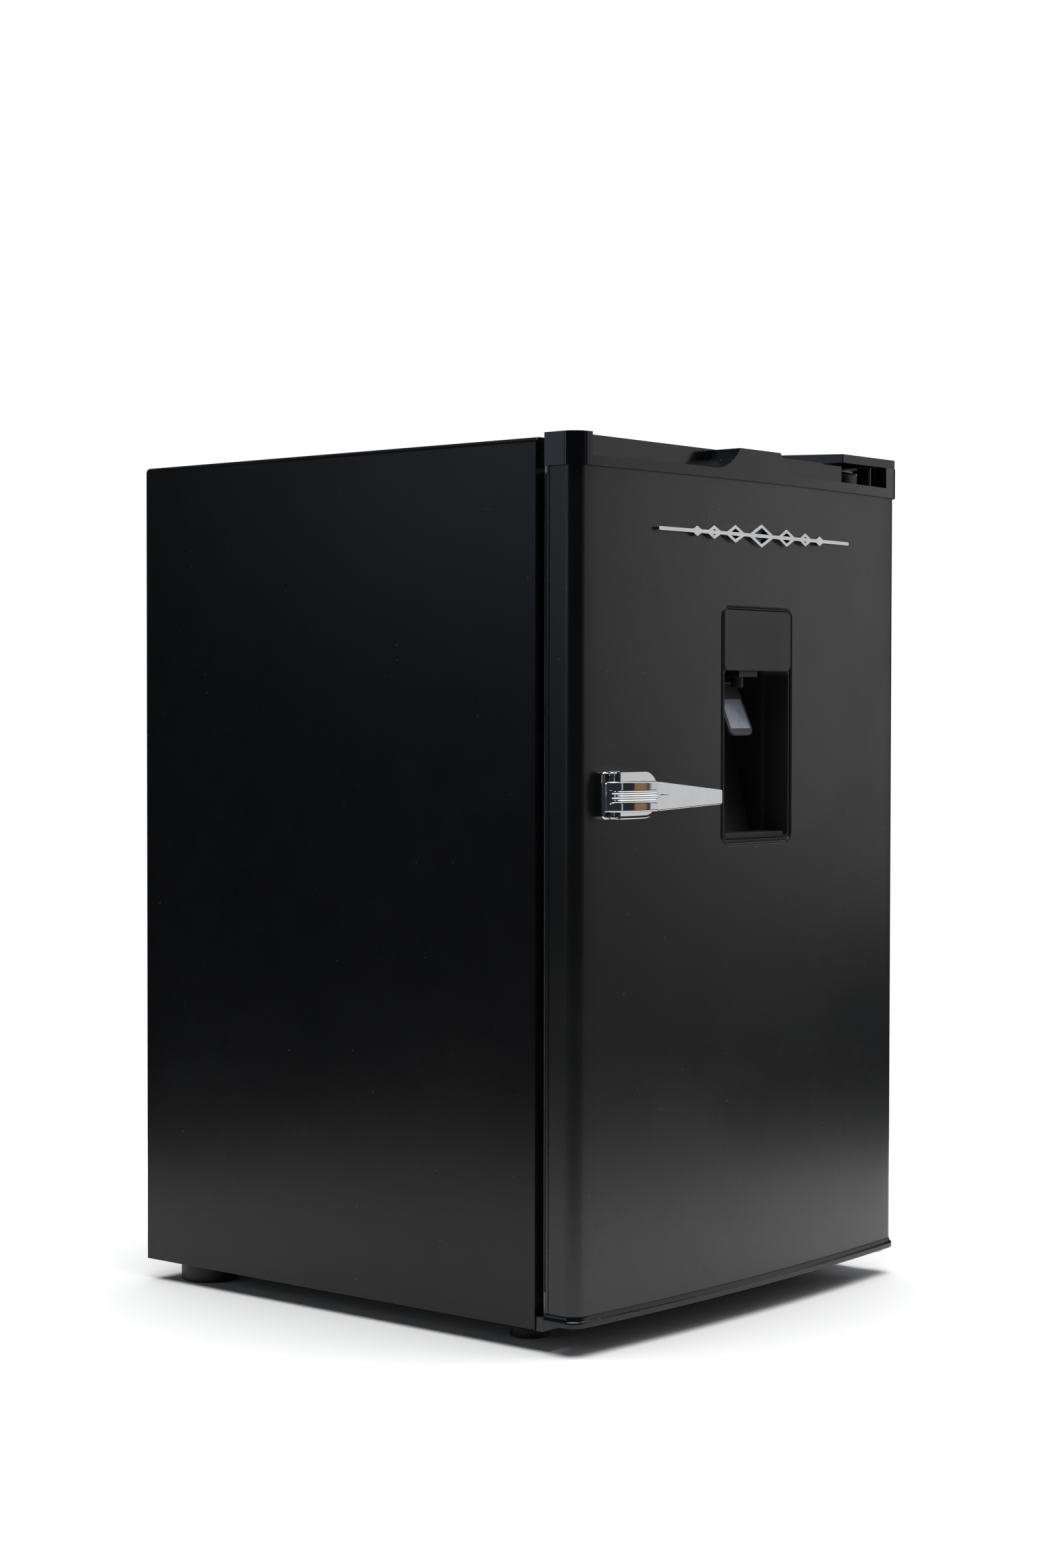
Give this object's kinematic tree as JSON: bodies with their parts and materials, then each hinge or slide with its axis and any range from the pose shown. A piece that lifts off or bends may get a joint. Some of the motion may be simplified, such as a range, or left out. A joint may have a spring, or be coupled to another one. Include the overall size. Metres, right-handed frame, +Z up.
{
  "type": "mini fridge",
  "caption": "Retro compact refrigerator with a bowed hinged door, a water dispenser recess, a lever handle and a small freezer box inside.",
  "frame": {"origin": "centre of the bounding box at floor level", "axes": "+Z up, front of the door faces -Y, +X to the viewer's right when facing the door"},
  "size_m": [0.4804, 0.5569, 0.7656],
  "materials": {
    "cabinet_paint": "satin",
    "foam": "matte",
    "liner_plastic": "satin",
    "back_paint": "satin",
    "pan_paint": "satin",
    "plated_steel": "satin",
    "aluminium": "satin",
    "frost_plastic": "satin",
    "copper": "satin",
    "black_gloss": "gloss",
    "black_paint": "satin",
    "rubber": "matte",
    "black_matte": "matte",
    "door_paint": "satin",
    "grey_plastic": "satin",
    "tank_plastic": "gloss",
    "chrome": "polished",
    "paddle_plastic": "satin",
    "glow_plastic": "satin",
    "shelf_glass": "gloss"
  },
  "bodies": {
    "cabinet": {"cabinet_shell": "cabinet_paint", "cabinet_foam": "foam", "cabinet_liner": "liner_plastic", "back_panel": "back_paint", "base_pan": "pan_paint", "front_rail": "plated_steel", "freezer_box": "aluminium", "freezer_supports": "frost_plastic", "freezer_frame": "frost_plastic", "thermostat_housing": "liner_plastic", "sensor_tube": "copper", "top_hinge": "plated_steel", "hinge_cover": "black_gloss", "bottom_hinge": "plated_steel", "hinge_screws": "plated_steel", "compressor": "black_paint", "compressor_grommets": "rubber", "terminal_cover": "black_matte", "discharge_tube": "copper", "suction_tube": "copper", "filter_drier": "copper", "capillary_tube": "copper", "condenser_tube": "black_paint", "condenser_wires": "black_paint", "condenser_brackets": "black_matte", "drip_pan": "black_matte", "cord_gland": "rubber", "rear_feet": "black_matte", "drain_tube": "liner_plastic"},
    "door": {"door_skin": "door_paint", "door_foam": "foam", "door_liner": "liner_plastic", "door_gasket": "rubber", "door_cap": "black_gloss", "door_trim": "black_gloss", "dispenser_frame": "black_gloss", "dispenser_recess": "black_gloss", "dispenser_panel": "grey_plastic", "dispenser_spout": "black_matte", "water_tank": "tank_plastic", "outlet_valve": "liner_plastic", "handle_base": "chrome", "handle_lever": "chrome", "badge": "chrome", "rack_lower": "frost_plastic", "rack_upper": "frost_plastic", "hinge_bushes": "liner_plastic"},
    "paddle": {"paddle": "paddle_plastic", "paddle_plate": "glow_plastic"},
    "valve_stem": {"valve_stem": "liner_plastic"},
    "drip_tray": {"drip_tray": "black_matte"},
    "tank_lid": {"tank_lid": "tank_plastic"},
    "freezer_flap": {"freezer_flap": "frost_plastic"},
    "chill_tray": {"chill_tray": "frost_plastic"},
    "shelf_lower": {"shelf_lower": "shelf_glass"},
    "shelf_upper": {"shelf_upper": "shelf_glass"},
    "thermostat_knob": {"thermostat_knob": "liner_plastic"},
    "foot_left": {"foot_left": "black_matte"},
    "foot_right": {"foot_right": "black_matte"}
  },
  "joints": [
    {"name": "door_hinge", "type": "hinge", "parent": "cabinet", "child": "door", "pos_m": [0.222, -0.23695, 0.4], "axis": [0, 0, 1], "range_deg": [0, 120]},
    {"name": "paddle_pivot", "type": "hinge", "parent": "door", "child": "paddle", "pos_m": [0, -0.22505, 0.551], "axis": [1, 0, 0], "range_deg": [0, 15], "stiffness_Nm_per_rad": 0.03, "springref_deg": -14.32},
    {"name": "stem_slide", "type": "slide", "parent": "door", "child": "valve_stem", "axis": [0, 0, 1], "range_m": [0, 0.003]},
    {"name": "drip_tray_slide", "type": "slide", "parent": "door", "child": "drip_tray", "axis": [0, -1, 0], "range_m": [0, 0.02]},
    {"name": "tank_lid_lift", "type": "slide", "parent": "door", "child": "tank_lid", "axis": [0, 0, 1], "range_m": [0, 0.018]},
    {"name": "freezer_flap_hinge", "type": "hinge", "parent": "cabinet", "child": "freezer_flap", "pos_m": [0, -0.04845, 0.594], "axis": [1, 0, 0], "range_deg": [0, 90], "stiffness_Nm_per_rad": 0.06, "springref_deg": -17.19},
    {"name": "chill_tray_slide", "type": "slide", "parent": "cabinet", "child": "chill_tray", "axis": [0, -1, 0], "range_m": [0, 0.09]},
    {"name": "shelf_lower_slide", "type": "slide", "parent": "cabinet", "child": "shelf_lower", "axis": [0, -1, 0], "range_m": [0, 0.038]},
    {"name": "shelf_upper_slide", "type": "slide", "parent": "cabinet", "child": "shelf_upper", "axis": [0, -1, 0], "range_m": [0, 0.075]},
    {"name": "thermostat_turn", "type": "hinge", "parent": "cabinet", "child": "thermostat_knob", "pos_m": [0.184, -0.02395, 0.66], "axis": [0, -1, 0], "range_deg": [0, 270]},
    {"name": "foot_left_turn", "type": "hinge", "parent": "cabinet", "child": "foot_left", "pos_m": [-0.19, -0.16395, 0], "axis": [0, 0, 1], "continuous": true},
    {"name": "foot_right_turn", "type": "hinge", "parent": "cabinet", "child": "foot_right", "pos_m": [0.19, -0.16395, 0], "axis": [0, 0, 1], "continuous": true}
  ],
  "couplings": [
    {"joint": "stem_slide", "follows": "paddle_pivot", "m_per_rad": 0.008}
  ]
}
